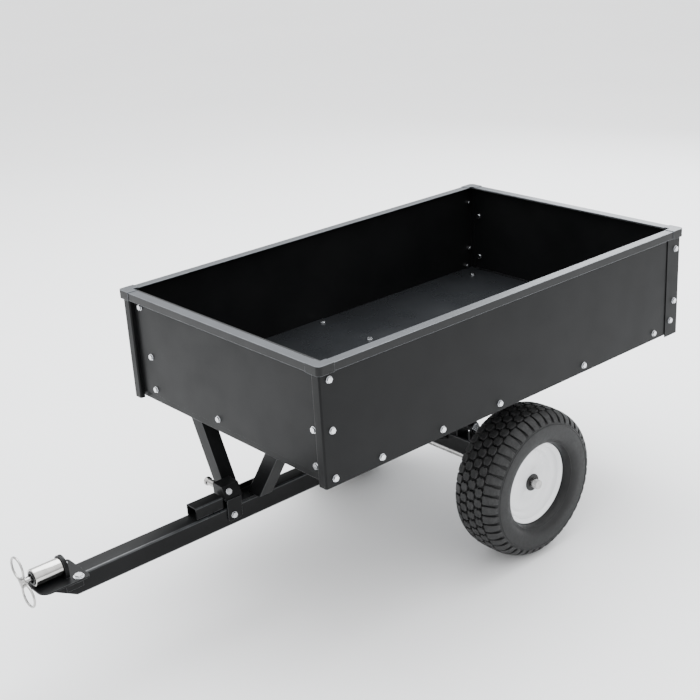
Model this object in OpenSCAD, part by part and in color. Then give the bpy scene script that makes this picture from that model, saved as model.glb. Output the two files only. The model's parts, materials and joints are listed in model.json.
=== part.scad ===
// Tow behind cart: a steel box bed that tips on an axle beam, two pneumatic
// wheels, and a square-tube tongue with a hitch. Millimetres, X forward to the
// hitch, Y to the left, Z up. The origin is on the ground, midway along the
// overall length and on the centre plane.

/* [Bed] */
// Outer length of the bed over its rim
bed_l = 1312; // [1100:1:1600]
// Outer width of the bed over its rim
bed_w = 800; // [700:1:1000]
// Height of a side, from its lower edge to the top of the rim
side_h = 299; // [240:1:380]
// Height of the floor above the lower edge of the sides
floor_up = 31; // [30:1:50]
// Thickness of the bed's sheet steel
sheet = 2; // [1.2:0.1:3]
// Gap between the tongue's top and the lower edge of the sides
bed_lift = 174; // [140:1:230]

/* [Rim] */
// Width of the rim's flat top
rim_w = 28; // [24:1:40]
// Height of the rim's outer lip
lip_h = 22; // [16:1:30]
// Distance the rim stands out past the side panels
overhang = 9; // [8:1:12]
// Radius of the rim's outer corners
corner_r = 12; // [6:1:20]

/* [Running gear] */
// Outer diameter of the tyres
tyre_d = 406; // [360:1:470]
// Width of the tyres
tyre_w = 150; // [120:1:170]
// Diameter over the flange of the steel wheel
flange_d = 224; // [200:1:236]
// Distance between the two tyres' centre planes
track = 692; // [620:1:780]
// Distance of the axle behind the bed's front
axle_setback = 707; // [600:1:820]
// Diameter of the axle rod
axle_d = 25; // [20:1:30]

/* [Drawbar] */
// Outer width of the square tube of the tongue and the axle beam
tube = 50; // [40:1:60]
// Wall of the square tubes
tube_wall = 3; // [2:0.5:5]
// Distance from the bed's front to the foremost point of the hitch
reach = 565; // [500:1:700]
// Height of the tongue's centre line above the axle beam's
tongue_rise = 20; // [10:1:30]
// Diameter of the hitch pin
pin_d = 12; // [10:1:14]
// Outer diameter of the polished hitch barrel
barrel_d = 43; // [38:1:50]

/* [Tipping] */
// Height of the tipping hinge above the axle beam
pivot_up = 32; // [28:1:45]
// Distance of each tipping hinge from the centre plane
pivot_y = 150; // [120:1:180]
// Diameter of the bolts of the tipping hinges
pivot_d = 12; // [10:1:16]

/* [Hidden] */
$fn = 64;

// Clearances
run_fit = 0.06;      // radial, for a rod that turns or slides in a bore
hole_fit = 0.5;      // radial, for a bolt in its hole
gap = 0.5;           // between faces that part when something moves

// Stations along X
front_x = (bed_l + reach) / 2;
bed_front = front_x - reach;
bed_rear = bed_front - bed_l;
axle_x = bed_front - axle_setback;

// Heights
axle_z = tyre_d / 2;
beam_z = axle_z + axle_d / 2 + tube / 2;
tongue_z = beam_z + tongue_rise;
tongue_top = tongue_z + tube / 2;
bed_bottom = tongue_top + bed_lift;
rim_top = bed_bottom + side_h;
floor_z = bed_bottom + floor_up;
pivot_z = beam_z + tube / 2 + pivot_up;

// Bed skin
skin_y = bed_w / 2 - overhang;
cap_t = 1.2;
cap_arm = 46;                            // length of a rim corner along each rail
rail_inset = cap_t + 0.3;                // rails lie this far inside the caps' faces
rail_end = 40;                           // rails stop this far from the rim's corners
rail_t = 2.5;
rail_top = rim_top - rail_inset;
skin_top = rail_top - rail_t;
post_x = bed_front - overhang + 2;       // front face of the folded corner posts
post_w = 28;
post_d = 13;
front_face = post_x - post_d;            // outer face of the front panel
front_bottom = bed_bottom + 22;
rear_face = bed_rear + 14;               // outer face of the rear panel
post_t = 2.5;
rear_post_w = 50;
rear_leg_w = 60;
rear_foot = 12;
rear_fold = 16;                          // fold of a side inward, across the rear panel
angle_w = 98;                            // leg of a corner angle along the front panel
return_w = rim_w - overhang - 2;         // inward fold along the panels' tops

// Bolts
bolt_d = 8;
bolt_flange = 17;
bolt_head = 13;
bolt_head_h = 5.5;
nut_h = 6.5;

// Underframe
member_h = 25;
member_w = 50;
front_member_w = 120;
member_base = floor_z - 2 * sheet - member_h;
runner_w = 40;
runner_h = 30;
runner_z = member_base - runner_h / 2;
strut_w = 40;

// Latch
base_x0 = bed_front - 112;
base_x1 = bed_front - 27;
saddle_x0 = bed_front - 25;
saddle_x1 = bed_front + 18;
saddle_t = 4;
saddle_up = 23;
house_up = 54;
pull_x = bed_front + 3;
pull_z = tongue_top + 38;
pull_d = 8;
barrel_nut = 20;

// Hitch
plate_t = 4;
plate_top = tongue_top + plate_t;
plate_x1 = bed_front + 540;
plate_x0 = bed_front + 418;
plate_w = 104;
lug_x = bed_front + 456;
lug_t = 9;
barrel_x0 = lug_x + lug_t;
barrel_x1 = bed_front + 535;
barrel_z = plate_top + barrel_d / 2;
ring_od = 58;
ring_wire = 5.5;
ring_r = (ring_od - ring_wire) / 2;
ring_roll = 34;                          // turn of the ring holes about the pin's axis
tab_l = 16;                              // flat tab across the pin's end
tab_t = 5;
tab_h = 24;
eye_d = ring_wire + 1.8;
eye_x = front_x - tab_l / 2;
eye_up = 6.5;                            // each eye's distance from the pin's axis
pin_x0 = barrel_x0 + 1;

// Wheel
rim_half = 42;
bead_r = flange_d / 2 - 10.5;
hub_r = axle_d / 2 + 6;
hub_out = 31;
hub_in = -42;
axle_end = track / 2 + 56;

// ---- helpers ----

// A box given by its two extreme corners
module block(a, b) {
    translate(a) cube([b[0] - a[0], b[1] - a[1], b[2] - a[2]]);
}

// The same shape on the left and, mirrored, on the right
module both() {
    children();
    mirror([0, 1, 0]) children();
}

// A rectangular tube along X between two stations
module tube_x(x0, x1, y, z, w, h, wall) {
    difference() {
        block([x0, y - w / 2, z - h / 2], [x1, y + w / 2, z + h / 2]);
        block([x0 - 1, y - w / 2 + wall, z - h / 2 + wall],
            [x1 + 1, y + w / 2 - wall, z + h / 2 - wall]);
    }
}

// A rectangular tube along Y between two stations
module tube_y(y0, y1, x, z, w, h, wall) {
    difference() {
        block([x - w / 2, y0, z - h / 2], [x + w / 2, y1, z + h / 2]);
        block([x - w / 2 + wall, y0 - 1, z - h / 2 + wall],
            [x + w / 2 - wall, y1 + 1, z + h / 2 - wall]);
    }
}

// A flange bolt whose head seats on z = 0 and whose shank runs down through a
// grip, with a nut under it
module bolt(grip, d = bolt_d, flange = bolt_flange) {
    k = d / bolt_d;
    cylinder(h = 1.5 * k, d = max(flange, bolt_flange * k));
    cylinder(h = bolt_head_h * k, d = bolt_head * k / cos(30), $fn = 6);
    translate([0, 0, -grip - nut_h * k - 1]) cylinder(h = grip + nut_h * k + 1, d = d);
    translate([0, 0, -grip - nut_h * k]) cylinder(h = nut_h * k, d = bolt_head * k / cos(30), $fn = 6);
}

// The hole that such a bolt needs, reaching some way up and down from its head
module bolt_hole(d = bolt_d, reach_z = 60) {
    translate([0, 0, -reach_z]) cylinder(h = 2 * reach_z, d = d + 2 * hole_fit);
}

// Puts a bolt's head on the left skin, pointing out
module on_left(x, z) {
    translate([x, skin_y, z]) rotate([-90, 0, 0]) children();
}

// Puts a bolt's head on the front panel, pointing forward
module on_front(y, z) {
    translate([front_face, y, z]) rotate([0, 90, 0]) children();
}

// ---- places of the bolts ----

low_z = bed_bottom + 20;
column_x = bed_front - 34;
column_z = [rim_top - 40, (rim_top + bed_bottom) / 2 - 12, low_z];
side_x = [for (f = [0.134, 0.284, 0.437, 0.684, 0.915]) bed_front - f * bed_l];
post_bolt_at = [[bed_rear + 28, rim_top - 54], [bed_rear + 28, rim_top - 205],
    [bed_rear + 42, floor_z + 8]];
rear_y = skin_y - 36;
rear_z = [rim_top - 97, rim_top - 230];
front_top_z = rim_top - 40;
front_mid_z = (rim_top + bed_bottom) / 2 - 20;
front_low_z = floor_z + 8.5;
// Bolts of the front panel, as [distance from the centre plane, height]: two on
// the left, three on the right that step inward, and one at the middle
front_bolt_at = [[skin_y - 46, front_mid_z], [skin_y - 46, front_low_z],
    [58 - skin_y, front_top_z], [85 - skin_y, front_mid_z], [90 - skin_y, front_low_z],
    [-28, front_low_z]];
seam_x = bed_front - 638;
seam_y = [pivot_y + 9, skin_y - 27];     // the first passes through a runner
tail_x = bed_front - 1235;
tail_y = skin_y - 63;

module column_places() {
    for (z = column_z) on_left(column_x, z) children();
}
module side_places() {
    for (x = side_x) on_left(x, low_z) children();
}
module post_places() {
    for (p = post_bolt_at) translate([p[0], skin_y + post_t, p[1]]) rotate([-90, 0, 0]) children();
}
module rear_places() {
    both() for (z = rear_z) translate([rear_face + sheet, rear_y, z]) rotate([0, 90, 0]) children();
}
module front_places() {
    for (p = front_bolt_at) on_front(p[0], p[1]) children();
}
module floor_places() {
    both() {
        for (y = seam_y) translate([seam_x, y, floor_z]) children();
        translate([tail_x, tail_y, floor_z - sheet]) children();
    }
}

// ---- bed ----

// Left side: skin, an inward fold on top and at the rear, and a folded post round
// the front corner
module side_skin() difference() {
    union() {
        block([rear_face - post_t, skin_y - sheet, bed_bottom], [post_x, skin_y, skin_top]);
        block([rear_face + 30, skin_y - return_w, skin_top - sheet],
            [front_face - return_w - gap, skin_y - sheet + 0.01, skin_top]);
        block([rear_face + sheet, skin_y - sheet - rear_fold, floor_z + gap],
            [rear_face + 2 * sheet, skin_y - sheet + 0.01, skin_top]);
        block([post_x - sheet, skin_y - post_w, bed_bottom], [post_x, skin_y, skin_top]);
        block([front_face, skin_y - post_w, bed_bottom],
            [post_x, skin_y - post_w + sheet, skin_top]);
    }
    column_places() bolt_hole();
    side_places() bolt_hole();
    post_places() bolt_hole();
}
module side_panel_left() color("#2a2c2d") side_skin();
module side_panel_right() color("#2a2c2d") mirror([0, 1, 0]) side_skin();

// Front panel, with folds inward along its top and its lower edge
module front_panel() color("#2a2c2d") difference() {
    half = skin_y - sheet;
    union() {
        block([front_face - sheet, -half, front_bottom], [front_face, half, skin_top]);
        block([front_face - return_w, -half + return_w, skin_top - sheet],
            [front_face, half - return_w, skin_top]);
    }
    front_places() bolt_hole();
}

// Vertical angles that join the front panel to the sides, inside the corners
module corner_angles() color("#232526") both() difference() {
    y1 = skin_y - sheet;
    x1 = front_face - sheet;
    z0 = floor_z + 1;
    z1 = skin_top - sheet - 1;
    union() {
        block([x1 - 38, y1 - sheet, z0], [x1, y1, z1]);
        block([x1 - sheet, y1 - angle_w, z0], [x1, y1, z1]);
    }
    column_places() bolt_hole();
    front_places() bolt_hole();
    mirror([0, 1, 0]) front_places() bolt_hole();
}

// A floor sheet between two stations, with a flange down each side
module floor_sheet(x0, x1, z) {
    half = skin_y - sheet;
    block([x0, -half, z - sheet], [x1, half, z]);
    for (y = [-half, half - sheet])
        block([x0, y, bed_bottom + 6], [x1, y + sheet, z - sheet + 0.01]);
}
module floor_front() color("#26292b") difference() {
    half = skin_y - sheet;
    lap = seam_x + 22;
    floor_sheet(seam_x - 22, front_face - sheet, floor_z);
    for (y = [-half - 1, half - sheet - 1])
        block([seam_x - 40, y, bed_bottom], [lap, y + sheet + 2, floor_z - sheet]);
    floor_places() bolt_hole();
    both() {
        side_places() bolt_hole();
        column_places() bolt_hole();
    }
}
module floor_rear() color("#26292b") difference() {
    floor_sheet(rear_face + sheet, seam_x + 20, floor_z - sheet);
    floor_places() bolt_hole();
    both() side_places() bolt_hole();
}

// Rear panel, with a fold forward along its top and a foot that rests on the floor
module rear_panel() color("#2a2c2d") difference() {
    half = skin_y - sheet;
    inner = half - rear_fold - gap;
    union() {
        block([rear_face, -half, bed_bottom], [rear_face + sheet, half, skin_top]);
        block([rear_face, -inner, skin_top - sheet], [rear_face + return_w, inner, skin_top]);
        block([rear_face, -inner, floor_z - sheet], [rear_face + rear_foot, inner, floor_z]);
    }
    rear_places() bolt_hole();
}

// Left rear post: an angle outside the corner, with one leg along the side and
// one across the rear
module rear_post() difference() {
    z0 = bed_bottom - 7;
    z1 = rim_top - lip_h - 1;
    x0 = rear_face - post_t;
    union() {
        block([x0, skin_y, z0], [x0 + rear_post_w, skin_y + post_t, z1]);
        block([x0, skin_y - rear_leg_w, z0], [rear_face, skin_y - sheet - gap, z1]);
        block([x0 - post_t, skin_y - rear_leg_w, z0], [x0 + 0.01, skin_y + post_t, z1]);
    }
    post_places() bolt_hole();
    rear_places() bolt_hole();
}
module rear_post_left() color("#2a2c2d") rear_post();
module rear_post_right() color("#2a2c2d") mirror([0, 1, 0]) rear_post();

// Left rail of the rim: flat top and outer lip
module side_rail() {
    y1 = bed_w / 2 - rail_inset;
    x0 = bed_rear + rail_end;
    x1 = bed_front - rail_end;
    block([x0, bed_w / 2 - rim_w, rail_top - rail_t], [x1, y1, rail_top]);
    block([x0, y1 - rail_t, rim_top - lip_h], [x1, y1, rail_top - rail_t + 0.01]);
}
module rim_left() color("#3b4046") side_rail();
module rim_right() color("#3b4046") mirror([0, 1, 0]) side_rail();

// The same rail across an end, its outer face towards +X
module end_rail() {
    half = bed_w / 2 - rail_end;
    block([-rim_w, -half, rail_top - rail_t], [-rail_inset, half, rail_top]);
    block([-rail_inset - rail_t, -half, rim_top - lip_h], [-rail_inset, half, rail_top - rail_t + 0.01]);
}
module rim_front() color("#3b4046") translate([bed_front, 0, 0]) end_rail();
module rim_rear() color("#3b4046") translate([bed_rear, 0, 0]) mirror([1, 0, 0]) end_rail();

// Outline of an L in plan with a rounded outer corner at the origin, its arms
// along -X and -Y
module corner_plan(arm, width, r) {
    translate([-r, -r]) circle(r);
    translate([-arm, -width]) square([arm - r, width]);
    translate([-width, -arm]) square([width, arm - r]);
}
// A rim corner, its rounded corner at the origin, pointing to +X and +Y: a cap
// over the rails' ends
module rim_cap() difference() {
    translate([0, 0, rim_top - lip_h - 1]) linear_extrude(lip_h + 1)
        corner_plan(cap_arm, rim_w, corner_r);
    translate([-cap_t, -cap_t, rim_top - lip_h - 2]) linear_extrude(lip_h + 2 - cap_t)
        corner_plan(cap_arm + 2, rim_w + 2, corner_r - cap_t);
}
// The corner's core, which fills the cap between the rails' ends
module rim_core() translate([-cap_t, -cap_t, skin_top]) linear_extrude(rim_top - skin_top - cap_t + 0.01)
    corner_plan(rail_end - cap_t - 0.5, rim_w - cap_t, corner_r - cap_t);
module corner_at(x, side, turn) translate([x, side * bed_w / 2, 0]) mirror([turn, 0, 0])
    mirror([0, side > 0 ? 0 : 1, 0]) {
        rim_cap();
        rim_core();
    }
module rim_corner_front_left() color("#303439") corner_at(bed_front, 1, 0);
module rim_corner_front_right() color("#303439") corner_at(bed_front, -1, 0);
module rim_corner_rear_left() color("#303439") corner_at(bed_rear, 1, 1);
module rim_corner_rear_right() color("#303439") corner_at(bed_rear, -1, 1);

// ---- underframe ----

// A box-section member under the floor, from the common base up to a top
module crossmember(x, w, top) {
    half = skin_y - 2 * sheet - 9;
    h = top - member_base;
    difference() {
        tube_y(-half, half, x, member_base + h / 2, w, h, sheet);
        floor_places() bolt_hole();
    }
}
module crossmember_front() color("#1f2122")
    crossmember(bed_front - 25 - front_member_w / 2, front_member_w, floor_z - sheet);
module crossmember_middle() color("#1f2122") crossmember(seam_x, member_w, floor_z - 2 * sheet);
module crossmember_rear() color("#1f2122") crossmember(tail_x, member_w, floor_z - 2 * sheet);

module runner() difference() {
    tube_x(tail_x - member_w / 2, bed_front - 120, pivot_y, runner_z, runner_w, runner_h, sheet);
    translate([seam_x, seam_y[0], floor_z]) bolt_hole(bolt_d, 100);
}
module runner_left() color("#1f2122") runner();
module runner_right() color("#1f2122") mirror([0, 1, 0]) runner();

// Leg from a runner down to the tipping hinge, with the hinge's bush
hanger_x = 17.5;
hanger_y = 17;
module hanger() {
    bush_r = pivot_d / 2 + 7;
    top = runner_z - runner_h / 2;
    difference() {
        union() {
            block([axle_x - hanger_x, pivot_y - hanger_y, pivot_z],
                [axle_x + hanger_x, pivot_y + hanger_y, top]);
            block([axle_x - 32, pivot_y - runner_w / 2, top - 6],
                [axle_x + 32, pivot_y + runner_w / 2, top]);
            translate([axle_x, pivot_y - 20, pivot_z]) rotate([-90, 0, 0]) cylinder(h = 40, r = bush_r);
        }
        block([axle_x - hanger_x + 4, pivot_y - hanger_y - 1, pivot_z + bush_r + 4],
            [axle_x + hanger_x - 4, pivot_y + hanger_y - 4, top - 12]);
        translate([axle_x, pivot_y - 30, pivot_z]) rotate([-90, 0, 0])
            cylinder(h = 60, r = pivot_d / 2 + run_fit);
    }
}
module hanger_left() color("#1f2122") hanger();
module hanger_right() color("#1f2122") mirror([0, 1, 0]) hanger();

// A square tube on the line between two points, cut level at both of them
module leg(foot, top) {
    d = top - foot;
    l = norm(d);
    reach_z = l + 4 * strut_w;
    intersection() {
        translate(foot) rotate([-asin(d[1] / l), atan2(d[0], d[2]), 0]) difference() {
            block([-strut_w / 2, -strut_w / 2, -2 * strut_w], [strut_w / 2, strut_w / 2, reach_z]);
            block([-strut_w / 2 + sheet, -strut_w / 2 + sheet, -2 * strut_w - 1],
                [strut_w / 2 - sheet, strut_w / 2 - sheet, reach_z + 1]);
        }
        block([foot[0] - 200, foot[1] - 400, foot[2]], [foot[0] + 200, foot[1] + 400, top[2]]);
    }
}
strut_top = member_base;
base_top = tongue_top + gap + saddle_t;
module strut_left() color("#26282a")
    leg([bed_front - 89, 21, base_top], [bed_front - 89, 130, strut_top]);
module strut_right() color("#26282a") difference() {
    leg([bed_front - 46, -53, tongue_top - 8], [bed_front - 46, -138, strut_top]);
    block([base_x0, -tube / 2 - saddle_t, tongue_top - 10], [bed_front, tube, tongue_top + 60]);
}

// Pan that joins the struts' feet and rests on the tongue
module strut_base() color("#26282a") {
    y0 = -tube / 2 - saddle_t;
    block([base_x0, y0, tongue_top + gap], [base_x1, tube / 2, base_top]);
    block([base_x0, y0, base_top - 0.01], [base_x1, y0 + saddle_t, base_top + 14]);
}

// ---- latch ----

// Outline of the housing across the cart, narrower at the top
function house_line(in) = [[-25 + in, saddle_up + gap], [25 - in * 1.1, saddle_up + gap],
    [12 - in * 1.3, house_up - in], [-27 + in, house_up - in]];
module house_prism(x0, x1, in) translate([x0, 0, tongue_top]) rotate([90, 0, 90])
    linear_extrude(x1 - x0) polygon(house_line(in));

// Housing that covers the keeper and carries the pull pin
module latch_housing() color("#232526") difference() {
    rear = base_x1 - saddle_t;
    union() {
        house_prism(rear, saddle_x1, 0);
        block([rear, -22, base_top], [base_x1, 22, tongue_top + saddle_up + gap + 1]);
    }
    difference() {
        house_prism(base_x1, saddle_x1 - saddle_t, saddle_t);
        block([base_x1 - 10, -40, tongue_top + house_up - saddle_t], [saddle_x1, 40, rim_top]);
    }
    block([base_x1, -25 + saddle_t, tongue_top + saddle_up - 1],
        [saddle_x1 - saddle_t, 25 - 2 * saddle_t, tongue_top + saddle_up + gap + 1]);
    pull_axis() cylinder(h = 50, r = pull_d / 2 + run_fit);
    latch_bolt_place() translate([0, 0, -30]) cylinder(h = 60, d = bolt_d + 2 * hole_fit);
}
// Z runs out along the pull pin, towards -Y, from the centre plane
module pull_axis() translate([pull_x, 0, pull_z]) rotate([90, 0, 0]) children();
// Z runs out of the housing's sloping near face
house_lean = atan2(13, house_up - saddle_up - gap);
module latch_bolt_place() translate([bed_front + 3, 18.2, tongue_top + 40])
    rotate([-90 + house_lean, 0, 0]) children();
module latch_bolt() color("#c4c8cc") latch_bolt_place() {
    cylinder(h = 1.5, d = 16);
    cylinder(h = 5, d = bolt_head / cos(30), $fn = 6);
    translate([0, 0, -7]) cylinder(h = 7, d = bolt_d);
}
// Threaded barrel on the housing's far side, with a lock nut at its root
barrel_root = 27;
latch_barrel_l = 34;
knob_h = 14;
collar_at = barrel_root + 6.3;
collar_t = 2;
pull_tip = 5;                            // how far the pin passes the centre plane
module latch_barrel() color("#b9bec2") pull_axis() translate([0, 0, barrel_root]) difference() {
    union() {
        cylinder(h = latch_barrel_l, d = 17);
        cylinder(h = 6, d = barrel_nut / cos(30), $fn = 6);
    }
    translate([0, 0, -1]) cylinder(h = latch_barrel_l + 2, r = pull_d / 2 + run_fit);
    translate([0, 0, 6]) cylinder(h = latch_barrel_l - 8, r = 5.6);
}
module latch_pin() color("#c9ccd0") pull_axis() {
    translate([0, 0, -pull_tip])
        cylinder(h = pull_tip + barrel_root + latch_barrel_l + 1 + knob_h, d = pull_d);
    translate([0, 0, collar_at]) cylinder(h = collar_t, d = 11);
}
module latch_knob() color("#c9ccd0") pull_axis()
    translate([0, 0, barrel_root + latch_barrel_l + 1]) rotate_extrude()
        polygon([[pull_d / 2, 0], [7, 0], [11.5, 4], [11.5, knob_h - 4], [8, knob_h],
            [pull_d / 2, knob_h]]);
// Compression spring between the pin's collar and the barrel's outer end
spring_wire = 1.2;
module latch_spring() color("#9aa0a5") {
    z0 = collar_at + collar_t + 0.1;
    z1 = barrel_root + latch_barrel_l - 2.1;
    turns = 4;
    pitch = (z1 - z0 - spring_wire) / turns;
    pull_axis() for (k = [0:turns]) translate([0, 0, z0 + spring_wire / 2 + k * pitch])
        rotate_extrude() translate([4.9, 0]) circle(d = spring_wire, $fn = 16);
}

// Two uprights on the saddle that the pull pin drops between
keeper_y = 4;
keeper_back = 15;
keeper_front = 8.5;
slot_half = pull_d / 2 + 1.2;
module latch_keeper() color("#26282a") for (x = [[-keeper_back, -slot_half], [slot_half, keeper_front]])
    block([pull_x + x[0], -keeper_y, tongue_top + saddle_up], [pull_x + x[1], keeper_y, pull_z + 3]);
// Saddle over the tongue
module latch_saddle() color("#26282a") difference() {
    half = tube / 2;
    union() {
        for (s = [-1, 1]) translate([saddle_x0, s > 0 ? half : -half - saddle_t, 0])
            rotate([90, 0, 0]) translate([0, 0, -saddle_t]) linear_extrude(saddle_t)
                rounded_flange(saddle_x1 - saddle_x0, tongue_top - 36, tongue_top + saddle_up, 9);
        block([saddle_x0, -half - saddle_t, tongue_top + saddle_up - saddle_t],
            [saddle_x1, half + saddle_t, tongue_top + saddle_up]);
    }
    saddle_place() translate([0, 0, -100]) cylinder(h = 200, d = bolt_d + 2 * hole_fit);
}
// A plate from z0 to z1 with its two lower corners rounded
module rounded_flange(w, z0, z1, r) {
    translate([0, z0 + r]) square([w, z1 - z0 - r]);
    translate([r, z0]) square([w - 2 * r, r + 1]);
    for (x = [r, w - r]) translate([x, z0 + r]) circle(r);
}
module saddle_place() translate([bed_front + 1, tube / 2 + saddle_t, tongue_top - 21])
    rotate([-90, 0, 0]) children();

// ---- chassis ----

nose_low = bed_front + 440;
nose_high = plate_x1 - 12;
module tongue() color("#1d1f20") {
    difference() {
        tube_x(axle_x + tube / 2, nose_high, 0, tongue_z, tube, tube, tube_wall);
        translate([nose_low, -tube, tongue_z - tube / 2 - 0.01])
            rotate([0, -atan2(tube, nose_high - nose_low), 0]) translate([0, 0, -tube * 2])
                cube([3 * tube, 2 * tube, 2 * tube]);
        saddle_place() translate([0, 0, -100]) cylinder(h = 200, d = bolt_d + 2 * hole_fit);
    }
}
beam_half = track / 2 - tyre_w / 2 - 12;
module axle_beam() color("#1d1f20")
    tube_y(-beam_half, beam_half, axle_x, beam_z, tube, tube, tube_wall);
// Gussets in the corners between the tongue's sides and the beam's front
gusset = 70;
gusset_t = 6;
module tongue_gussets() color("#1d1f20") both()
    translate([axle_x + tube / 2, tube / 2, (beam_z + tongue_z - gusset_t) / 2])
        linear_extrude(gusset_t)
            polygon([[0, 0], [gusset, 0], [gusset, 5], [5, gusset], [0, gusset]]);
// Rod with a groove near each end for the ring that keeps the wheel on
washer_t = 3;
washer_d = axle_d + 22;
groove_d = axle_d - 2;
module axle_rod() color("#b4b2ab") difference() {
    translate([axle_x, axle_end, axle_z]) rotate([90, 0, 0]) cylinder(h = 2 * axle_end, d = axle_d);
    both() washer_at(hub_out + gap) difference() {
        cylinder(h = washer_t, d = axle_d + 4);
        translate([0, 0, -1]) cylinder(h = washer_t + 2, d = groove_d);
    }
}
// Z runs out along the left end of the rod from a distance past the wheel's centre
module washer_at(s) translate([axle_x, track / 2 + s, axle_z]) rotate([-90, 0, 0]) children();

// Blocks that hold the rod under the beam
saddle_fit = 0.1;
module axle_saddles() color("#1d1f20") for (y = [-1, 1] * (beam_half - 30)) difference() {
    block([axle_x - 24, y - 15, axle_z - axle_d / 2 - 5], [axle_x + 24, y + 15, beam_z - tube / 2]);
    translate([axle_x, y - 20, axle_z]) rotate([-90, 0, 0])
        cylinder(h = 40, r = axle_d / 2 + saddle_fit);
}

// Two ears on the beam at each tipping hinge
ear_t = 6;
ear_gap = 41;
module pivot_lugs() color("#1d1f20") both() for (s = [-1, 1])
    translate([axle_x, pivot_y + s * (ear_gap + ear_t) / 2, 0]) difference() {
        union() {
            translate([0, ear_t / 2, pivot_z]) rotate([90, 0, 0]) cylinder(h = ear_t, r = 16);
            block([-22, -ear_t / 2, beam_z + tube / 2], [22, ear_t / 2, pivot_z - 6]);
            block([-16, -ear_t / 2, pivot_z - 10], [16, ear_t / 2, pivot_z]);
        }
        translate([0, 20, pivot_z]) rotate([90, 0, 0]) cylinder(h = 40, r = pivot_d / 2 + run_fit);
    }
module pivot_bolts() color("#c4c8cc") both()
    translate([axle_x, pivot_y + ear_gap / 2 + ear_t, pivot_z]) rotate([-90, 0, 0])
        bolt(ear_gap + 2 * ear_t, pivot_d);

// Short socket tube welded on the tongue, ahead of the latch
stub_w = 40;
stub_h = 32;
module stub_tube() color("#1d1f20")
    tube_x(saddle_x1 + 6, bed_front + 104, 0, tongue_top + stub_h / 2, stub_w, stub_h, 2.5);

// ---- hitch ----

module plate_plan() {
    r = 24;
    q = 8;
    l = plate_x1 - plate_x0;
    half = plate_w / 2;
    translate([q, -half]) square([l - q - r, plate_w]);
    translate([0, -half + q]) square([q + 1, plate_w - 2 * q]);
    translate([l - r - 1, -half + r]) square([r + 1, plate_w - 2 * r]);
    for (s = [-1, 1]) {
        translate([q, s * (half - q)]) circle(q);
        translate([l - r, s * (half - r)]) circle(r);
    }
}
hitch_bolt_y = plate_w / 2 - 14;
hitch_bolt_d = 10;
module hitch_bolt_places() both()
    translate([bed_front + 441, hitch_bolt_y, plate_top]) children();
module hitch_plate() color("#232526") difference() {
    union() {
        translate([plate_x0, 0, tongue_top]) linear_extrude(plate_t) plate_plan();
        translate([lug_x, 0, 0]) lug();
    }
    hitch_bolt_places() bolt_hole(hitch_bolt_d);
}
// Upright lug behind the barrel, round at the top
module lug() {
    r = 26;
    top = barrel_z + barrel_d / 2 + 4;
    intersection() {
        union() {
            block([0, -r, plate_top - r], [lug_t, r, top - r]);
            translate([0, 0, top - r]) rotate([0, 90, 0]) cylinder(h = lug_t, r = r);
        }
        block([0, -r, plate_top - 0.01], [lug_t, r, top]);
    }
}
module hitch_cleats() color("#1d1f20") both() difference() {
    union() {
        block([plate_x0 + 8, tube / 2, tongue_top - 30], [plate_x0 + 52, tube / 2 + 2.5, tongue_top]);
        block([plate_x0 + 8, tube / 2, tongue_top - cleat_t], [plate_x0 + 52, plate_w / 2 - 3, tongue_top]);
    }
    hitch_bolt_places() bolt_hole(hitch_bolt_d);
}
// The saddle's through bolt, and screws that hold the hitch plate to the cleats
cleat_t = 3;
module tongue_bolts() color("#c4c8cc") {
    saddle_place() bolt(tube + 2 * saddle_t);
    hitch_bolt_places() {
        cylinder(h = 2, d = 26);
        cylinder(h = 7, d = 16 / cos(30), $fn = 6);
        translate([0, 0, -plate_t - cleat_t]) cylinder(h = plate_t + cleat_t, d = hitch_bolt_d);
    }
}

// Z runs forward along the hitch pin
module pin_axis(x) translate([x, 0, barrel_z]) rotate([0, 90, 0]) children();
bush_d = barrel_d - 10;
module hitch_barrel() color("#b9b6ad") difference() {
    pin_axis(barrel_x0) cylinder(h = barrel_x1 - barrel_x0, d = barrel_d);
    pin_axis(barrel_x0 - 1) cylinder(h = barrel_x1 - barrel_x0 + 2, d = bush_d);
}
// Black bush inside the barrel, hollowed round the pin at its front
module hitch_bush() color("#141516") difference() {
    pin_axis(barrel_x0) cylinder(h = barrel_x1 - barrel_x0 + 2, d = bush_d);
    pin_axis(barrel_x0 - 1) cylinder(h = barrel_x1 - barrel_x0 + 4, r = pin_d / 2 + run_fit);
    pin_axis(barrel_x1 - 12) cylinder(h = 20, d = bush_d - 10);
}
// Frame of the tab's eyes, rolled about the pin's axis
module tab_frame() translate([eye_x, 0, barrel_z]) rotate([ring_roll, 0, 0]) children();
module hitch_pin() color("#c9ccd0") difference() {
    union() {
        pin_axis(pin_x0) cylinder(h = front_x - tab_l + 3 - pin_x0, d = pin_d);
        tab_frame() block([-tab_l / 2, -tab_t / 2, -tab_h / 2], [tab_l / 2, tab_t / 2, tab_h / 2]);
    }
    tab_frame() for (s = [-1, 1]) translate([0, 0, s * eye_up]) rotate([90, 0, 0])
        cylinder(h = 40, d = eye_d, center = true);
}
// A ring hanging from an eye, up or down along the tab
module ring(up) tab_frame() translate([0, 0, up * (eye_up + ring_r)]) rotate([0, 90, 0])
    rotate_extrude() translate([ring_r, 0]) circle(d = ring_wire, $fn = 32);
module upper_ring() color("#b9bcc0") ring(1);
module lower_ring() color("#b9bcc0") ring(-1);

// ---- wheels ----

// Section of the tyre and the wheel: radius against distance from the centre plane
tyre_r = tyre_d / 2;
tyre_mid = (tyre_r + bead_r) / 2;
wall_t = 8;
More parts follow.
